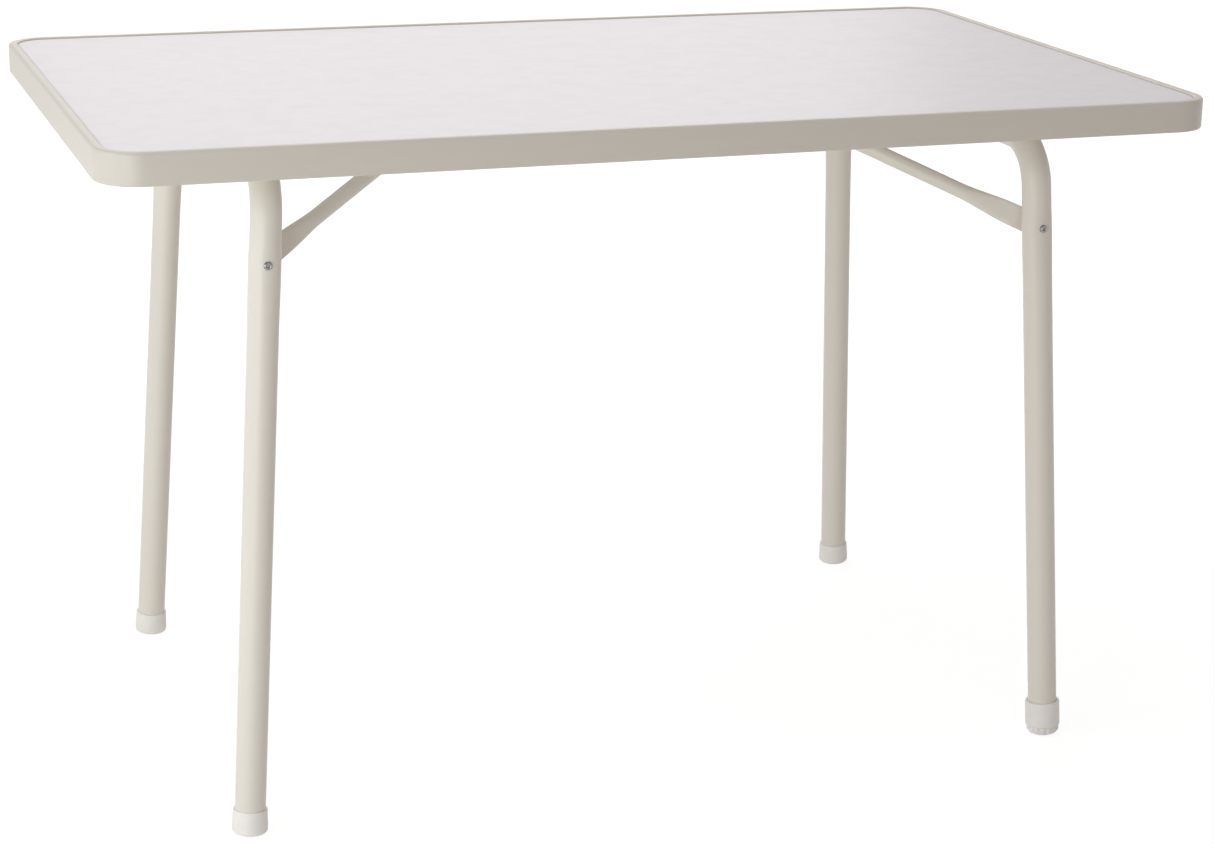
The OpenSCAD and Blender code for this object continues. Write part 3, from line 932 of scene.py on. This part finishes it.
def pressed_by(below):
    """How far a leg is squashed at a distance below its rivet, 0 to 1."""
    start, rise, hold, fade = -18 * MM, 10 * MM, 10 * MM, 60 * MM
    return smooth((below - start) / rise) * (1 - smooth((below - hold) / fade))


def station_ring(point, heading, bend, pressed, end):
    """Ring of the leg tube at a point of one half, a little flat in a bend and at a rivet."""
    r = sizes().leg_d / 2
    squeeze = math.sin(math.pi * bend) ** 2
    across = Vector((0, -heading.y * end, heading.x))
    centre = Vector((0, point.x * end, point.y))
    half_w = r * (1 - BENT * squeeze - PRESSED * pressed)
    return tube_ring(centre, across, Vector((1, 0, 0)), half_w, r * (1 + PRESSED * pressed))


class FOLDINGTABLE_OT_leg_frames(bpy.types.Operator):
    """Build the two bent tube frames"""
    bl_idname = "folding_table.leg_frames"
    bl_label = "Leg frames"

    def execute(self, context):
        cap_cut = CAP_FLOOR + 1.2 * MM
        level_cut = 17 * MM
        for side, front_cut in zip(SIDES, (cap_cut, level_cut)):
            layout = Layout(side)
            node = side + "_leg_frame"
            piece(
                side + "_frame_tube", frame_mesh(layout, (front_cut, cap_cut)), node,
                "powder_coat", node, layout.frame_place(),
            )
        return {"FINISHED"}


def stay_mesh(layout):
    """Bent stay tube in its own plane: X from the rivets to the bar, Y across.

    A station is a point, a heading, how far the section is opened from flat to round, and
    the share of its height.
    """
    s = sizes()
    tab_u = 12 * MM
    arm_start = 72 * MM
    face_y = layout.leg_y - s.leg_d / 2 - SPACER_T - PLAY
    arm_y = face_y - s.tab_t / 2
    run = layout.stay_c - tab_u
    lean = math.atan2(arm_y - s.stay_half_w, run)
    turn = math.pi / 2 - lean
    tangent = s.stay_bend_r * math.tan(turn / 2)
    arm_l = math.hypot(run, arm_y - s.stay_half_w)
    arm = Vector((math.cos(lean), -math.sin(lean)))
    root = Vector((tab_u, arm_y))
    tab_r = s.tab_h / 2
    tip = 0.06
    squareness = 2.6
    tip_steps = 12
    open_steps = 16
    stations = []
    for k in range(tip_steps + 1):
        a = math.pi / 2 * k / tip_steps
        u = -tab_r * math.cos(a)
        stations.append((Vector((u, arm_y)), Vector((1, 0)), 0.0, math.sin(a)))
    ease = 8 * MM
    small_r = ease / math.tan(lean / 2)
    start = Vector((tab_u - ease, arm_y))
    kink = bend_points(start, Vector((1, 0)), small_r, lean, 6)
    stations += [(point, heading, 0.0, 1.0) for point, heading, _ in kink]
    for k in range(1, open_steps + 1):
        t = k / open_steps
        along = ease + (arm_start - ease) * t
        stations.append((root + arm * along, arm, t, 1.0))
    stations.append((root + arm * (arm_start + arm_l - tangent) / 2, arm, 1.0, 1.0))
    bend = bend_points(root + arm * (arm_l - tangent), arm, s.stay_bend_r, turn, 20)
    stations += [(point, heading, 1.0, 1.0) for point, heading, _ in bend]
    stations.append((Vector((layout.stay_c, 0)), Vector((0, -1)), 1.0, 1.0))
    rings = []
    for point, heading, opened, height in stations:
        t = smooth(opened)
        half_w = s.tab_t / 2 + (s.stay_d - s.tab_t) / 2 * t
        half_h = (tab_r + (s.stay_d / 2 - tab_r) * t) * max(height, tip)
        centre = Vector((point.x, point.y, 0))
        across = Vector((-heading.y, heading.x, 0))
        power = 2.0 + squareness * (1 - t)
        rings.append(tube_ring(centre, across, Vector((0, 0, 1)), half_w, half_h, power))
    mirrored = [[Vector((p.x, -p.y, p.z)) for p in ring] for ring in rings[:-1]]
    return skinned(rings + mirrored[::-1])


class FOLDINGTABLE_OT_stays(bpy.types.Operator):
    """Build the two trapezoid stays with their flattened ends"""
    bl_idname = "folding_table.stays"
    bl_label = "Stays"

    def execute(self, context):
        for side in SIDES:
            layout = Layout(side)
            node = side + "_stay"
            piece(
                side + "_stay_tube", stay_mesh(layout), node, "powder_coat", node,
                layout.stay_place(),
            )
        return {"FINISHED"}


# ---- rivets

def rivet_outline(inner, outer):
    """Half section of a rivet between two planes: plain dome inside, rolled ring outside."""
    dome_r = 4.2 * MM
    dome_h = 2.4 * MM
    shank = 3 * MM
    ball = (dome_r ** 2 + dome_h ** 2) / (2 * dome_h)
    reach = math.degrees(math.asin(dome_r / ball))
    covered = 0.94
    foot = arc((0, inner - dome_h + ball), ball, -90, -90 + reach * covered, 10)
    hole_r = 1.3 * MM
    rise = 0.6 * MM
    mid = (dome_r + hole_r) / 2
    steps = 14
    roll = [
        (mid + (dome_r - mid) * math.cos(a), outer + rise + (dome_h - rise) * math.sin(a))
        for a in (math.pi * k / steps for k in range(steps + 1))
    ]
    blunt = 0.15 * MM
    stem = [(dome_r, inner - blunt), (dome_r - blunt, inner), (shank, inner), (shank, outer)]
    floor = outer + 0.1 * MM
    return foot + stem + [(dome_r, outer), *roll, (hole_r, floor), (0, floor)]


class FOLDINGTABLE_OT_rivets(bpy.types.Operator):
    """Build the rivets that hinge the stays on the legs, with their spacers"""
    bl_idname = "folding_table.rivets"
    bl_label = "Rivets and spacers"

    def execute(self, context):
        s = sizes()
        for side in SIDES:
            layout = Layout(side)
            body = side + "_leg_frame"
            inner = layout.leg_y - s.leg_d / 2 - SPACER_T - s.tab_t - 2 * PLAY
            outer = layout.leg_y + s.leg_d / 2 * (1 - PRESSED) - 0.2 * MM
            for end_name, end in ENDS.items():
                stem = side + "_" + end_name
                piece(
                    stem + "_rivet_pin", turned(rivet_outline(inner, outer), 40), body,
                    "rivet_steel", stem + "_rivet", layout.rivet_place(end), 25,
                )
                dress(stem + "_spacer", "white_plastic")
        return {"FINISHED"}


# ---- feet

TUBE_FIT = 0.05 * MM        # gap between a leg tube and what is pushed on it


class FOLDINGTABLE_OT_caps(bpy.types.Operator):
    """Build the three foot caps"""
    bl_idname = "folding_table.caps"
    bl_label = "Foot caps"

    def execute(self, context):
        s = sizes()
        base_r = s.cap_base_d / 2
        edge_r = 4 * MM
        mouth = s.cap_top_d / 2
        bore = s.leg_d / 2 + TUBE_FIT
        outline = rounded_outline([
            (0, 0.6 * MM), (9 * MM, 0.6 * MM, 1 * MM), (11 * MM, 0, 0.6 * MM),
            (base_r, 0, edge_r), (base_r - 0.1 * MM, 8 * MM, 20 * MM),
            (mouth, s.cap_h, 0.9 * MM), (bore, s.cap_h, 0.3 * MM),
            (bore, CAP_FLOOR), (0, CAP_FLOOR),
        ], 8)
        for side, end_name in (("left", "front"), ("left", "rear"), ("right", "rear")):
            layout = Layout(side)
            stem = side + "_" + end_name
            place = layout.foot_place(ENDS[end_name], base_r, edge_r)
            piece(
                stem + "_cap_moulding", turned(outline, 72), side + "_leg_frame",
                "white_plastic", stem + "_foot_cap", place,
            )
        return {"FINISHED"}


class FOLDINGTABLE_OT_level_foot(bpy.types.Operator):
    """Build the screw foot: sleeve, fluted adjuster with its thread, and sole"""
    bl_idname = "folding_table.level_foot"
    bl_label = "Levelling foot"

    def execute(self, context):
        s = sizes()
        layout = Layout("right")
        sole_r = 12.5 * MM
        place = layout.foot_place(ENDS["front"], sole_r, 1 * MM)
        ring_low = 1.5 * MM
        ring_high = 10 * MM
        sleeve_low = ring_high + 0.4 * MM
        sleeve_high = sleeve_low + 27.6 * MM
        sleeve_floor = sleeve_low + 5.6 * MM
        nut_r = 5.2 * MM
        bore = s.leg_d / 2 + TUBE_FIT
        sleeve = rounded_outline([
            (nut_r, sleeve_low), (s.sleeve_d / 2, sleeve_low, 0.7 * MM),
            (s.sleeve_d / 2, sleeve_high, 1.6 * MM), (bore, sleeve_high, 1.2 * MM),
            (bore, sleeve_floor), (nut_r, sleeve_floor),
        ], 8)
        piece(
            "level_sleeve_moulding", turned(sleeve, 72, closed=True), "right_leg_frame",
            "white_plastic", "level_sleeve", place,
        )
        piece(
            "level_adjuster_screw", self.adjuster(ring_low, ring_high), "level_adjuster",
            "white_plastic", "level_adjuster", place, 50,
        )
        blunt = 0.3 * MM
        sole_t = 3.2 * MM
        pin_r = 2.9 * MM
        pin_top = 8 * MM
        sole = rounded_outline([
            (0, 0.5 * MM), (4 * MM, 0.5 * MM, blunt), (5 * MM, 0, blunt),
            (7 * MM, 0, blunt), (7.8 * MM, 0.6 * MM, blunt), (8.6 * MM, 0, blunt),
            (sole_r, 0, 1 * MM), (sole_r, sole_t, 0.4 * MM), (pin_r, sole_t),
            (pin_r, pin_top, 0.5 * MM), (0, pin_top),
        ], 4)
        piece(
            "level_sole_disc", turned(sole, 56), "level_sole", "sole_rubber",
            "level_sole_pad", place,
        )
        return {"FINISHED"}

    def adjuster(self, low, high):
        """Closed mesh: sole pocket, fluted ring, threaded stud."""
        flutes = sizes().flutes
        count = flutes * 10
        angles = [math.tau * i / count for i in range(count)]
        ring_r = 17.6 * MM
        base_r = 15.2 * MM
        pocket_r = 12.8 * MM
        stud_r = 5 * MM
        tip_r = stud_r * 0.7
        tip_h = 1 * MM
        pitch = 2 * MM
        turns = 16
        steps = 8
        pocket_top = low + 2 * MM
        levels = [(0, pocket_top, 0), (pocket_r, pocket_top, 0), (pocket_r, low, 0)]
        levels += [(base_r, low, 0.4), (base_r + 1.6 * MM, low + 2.2 * MM, 0.9)]
        levels += [(ring_r, low + 3.5 * MM, 1), (ring_r, high - 1.6 * MM, 1)]
        levels += [(ring_r, high - 1.0 * MM, 0.35), (ring_r, high - 0.5 * MM, 0)]
        levels += [(ring_r - 0.5 * MM, high, 0), (stud_r, high, 0)]
        rings = [
            [self.flute_point(radius, z, depth, flutes, a) for a in angles]
            for radius, z, depth in levels
        ]
        for k in range(turns * steps):
            z = high + (k + 1) * pitch / steps
            rings.append([self.thread_point(stud_r, z, pitch, a) for a in angles])
        rings.append([polar(tip_r, a, high + turns * pitch + tip_h) for a in angles])
        mesh = skinned(rings, capped=False)
        mesh.verts.ensure_lookup_table()
        mesh.faces.new(mesh.verts[-count:])
        bmesh.ops.remove_doubles(mesh, verts=mesh.verts, dist=1e-7)
        return mesh

    def flute_point(self, radius, z, depth, flutes, angle):
        """Point of the grip ring; depth 1 is a full flute, 0 is round."""
        flute_deep = 1.3 * MM
        dip = max(0.0, math.cos(flutes * angle)) ** 1.5 * flute_deep * depth
        return polar(radius - dip, angle, z)

    def thread_point(self, radius, z, pitch, angle):
        """Point of the stud's rounded thread."""
        thread_deep = 0.45 * MM
        phase = z / pitch - angle / math.tau
        dip = thread_deep * (0.5 - 0.5 * math.cos(math.tau * phase))
        return polar(radius - dip, angle, z)


# ---- studio

CAMERA_PLACE = (-0.9289, -2.8170, 1.2015)
CAMERA_YAW = math.radians(-18.85)
CAMERA_PITCH = math.radians(-16.77)
CAMERA_ROLL = math.radians(0.84)
CAMERA_LENS = 81.85
WHITE = (1.0, 1.0, 1.0, 1.0)
SKY_TINT = (1.0, 0.935, 0.935, 1.0)
TOP_TINT = (0.98, 1.0, 0.98)
SIDE_TINT = (0.92, 0.99, 1.0)
WORLD_LIGHT = 0.37
FLOOR_DIM = 0.3             # share of the floor's colour that takes the shadow in view
FLOOR_GLOW = 0.86           # glow of the floor under the table, 1 away from it
FLOOR_NEAR = 0.7
FLOOR_FAR = 2.6


class FOLDINGTABLE_OT_stage(bpy.types.Operator):
    """Set the camera, the soft lights, the white surround and the floor"""
    bl_idname = "folding_table.stage"
    bl_label = "Studio"

    def execute(self, context):
        scene = context.scene
        scene.view_settings.view_transform = "Standard"
        self.camera(scene)
        self.lights()
        self.surround(scene)
        self.floor()
        return {"FINISHED"}

    def camera(self, scene):
        lens = bpy.data.cameras.new("camera")
        lens.lens = CAMERA_LENS
        lens.clip_end = 100
        camera = linked("camera", lens)
        turn = Matrix.Rotation(CAMERA_YAW, 4, "Z")
        turn @= Matrix.Rotation(math.pi / 2 + CAMERA_PITCH, 4, "X")
        turn @= Matrix.Rotation(CAMERA_ROLL, 4, "Z")
        camera.matrix_world = Matrix.Translation(CAMERA_PLACE) @ turn
        scene.camera = camera

    def lights(self):
        """Large soft lamps above and behind, and lower ones for the near faces."""
        for name, place, aim, size, watts, tint in (
            ("top", (-0.6, 0.2, 3.4), (0.0, 0.0, 0.7), 2.4, 20, TOP_TINT),
            ("rear", (0.7, 3.0, 2.2), (0.1, 0.0, 0.7), 2.2, 16.5, TOP_TINT),
            ("left", (-2.4, -0.6, 1.05), (-0.1, 0.0, 0.4), 1.2, 11.8, SIDE_TINT),
            ("front", (-1.8, -2.0, 0.5), (-0.1, 0.0, 0.4), 1.0, 13, SIDE_TINT),
        ):
            lamp = bpy.data.lights.new(name, "AREA")
            lamp.size = size
            lamp.energy = watts
            lamp.color = tint
            light = linked(name, lamp)
            turn = (Vector(aim) - Vector(place)).to_track_quat("-Z", "Y").to_matrix().to_4x4()
            light.matrix_world = Matrix.Translation(place) @ turn

    def surround(self, scene):
        """White to the camera and in reflections, softer as a light."""
        world = bpy.data.worlds.new("surround")
        scene.world = world
        world.use_nodes = True
        n = Nodes(world.node_tree)
        soft = n.add("ShaderNodeBackground", None, {"Color": SKY_TINT, "Strength": WORLD_LIGHT})
        white = n.add("ShaderNodeBackground", None, {"Color": WHITE, "Strength": 1.0})
        n.end("ShaderNodeOutputWorld", n.mixed_shaders(n.seen(), soft, white))

    def floor(self):
        """Wide floor that reads as white and still takes the table's shadow."""
        reach = 30.0
        mesh = bmesh.new()
        corners = ((-reach, -reach, 0), (reach, -reach, 0), (reach, reach, 0), (-reach, reach, 0))
        mesh.faces.new([mesh.verts.new(corner) for corner in corners])
        floor = linked("studio_floor", stored("studio_floor", mesh))
        f = Finish("studio_floor")
        seen = f.seen()
        away = f.add("ShaderNodeVectorMath", {"operation": "LENGTH"}, {0: f.place})
        far = Value(f, away.outputs["Value"]).step(FLOOR_NEAR, FLOOR_FAR)
        white = colours().floor
        lit = f.add("ShaderNodeBsdfDiffuse", None, {"Color": opaque(white)})
        dim = f.add("ShaderNodeBsdfDiffuse", None, {"Color": opaque(toned(white, FLOOR_DIM))})
        diffuse = f.mixed_shaders(seen, lit, dim)
        dark, near_glow, far_glow = (
            f.add("ShaderNodeEmission", None, {"Strength": glow}) for glow in (0.0, FLOOR_GLOW, 1.0)
        )
        shown = f.mixed_shaders(seen, dark, f.mixed_shaders(far, near_glow, far_glow))
        both = f.add("ShaderNodeAddShader", None, {0: diffuse.outputs[0], 1: shown.outputs[0]})
        f.end("ShaderNodeOutputMaterial", both)
        floor.data.materials.append(f.material)


# ---- panel and run

OPERATORS = (
    FOLDINGTABLE_OT_stage, FOLDINGTABLE_OT_tabletop, FOLDINGTABLE_OT_rim,
    FOLDINGTABLE_OT_panel, FOLDINGTABLE_OT_bearings, FOLDINGTABLE_OT_catches,
    FOLDINGTABLE_OT_screws, FOLDINGTABLE_OT_leg_frames, FOLDINGTABLE_OT_stays,
    FOLDINGTABLE_OT_rivets, FOLDINGTABLE_OT_caps, FOLDINGTABLE_OT_level_foot,
)


class FOLDINGTABLE_PT_panel(bpy.types.Panel):
    bl_label = "Folding Table"
    bl_idname = "FOLDINGTABLE_PT_panel"
    bl_space_type = "VIEW_3D"
    bl_region_type = "UI"
    bl_category = "Folding Table"

    def draw(self, context):
        for operator in OPERATORS:
            self.layout.operator(operator.bl_idname)
        for group in (context.scene.folding_table_sizes, context.scene.folding_table_colours):
            for name in group.__annotations__:
                self.layout.prop(group, name)


CLASSES = (FoldingTableSizes, FoldingTableColours, *OPERATORS, FOLDINGTABLE_PT_panel)


def register():
    for cls in CLASSES:
        bpy.utils.register_class(cls)
    bpy.types.Scene.folding_table_sizes = PointerProperty(type=FoldingTableSizes)
    bpy.types.Scene.folding_table_colours = PointerProperty(type=FoldingTableColours)


def unregister():
    del bpy.types.Scene.folding_table_colours
    del bpy.types.Scene.folding_table_sizes
    for cls in reversed(CLASSES):
        bpy.utils.unregister_class(cls)


def main():
    register()
    for operator in OPERATORS:
        group, name = operator.bl_idname.split(".")
        getattr(getattr(bpy.ops, group), name)()


if __name__ == "__main__":
    main()
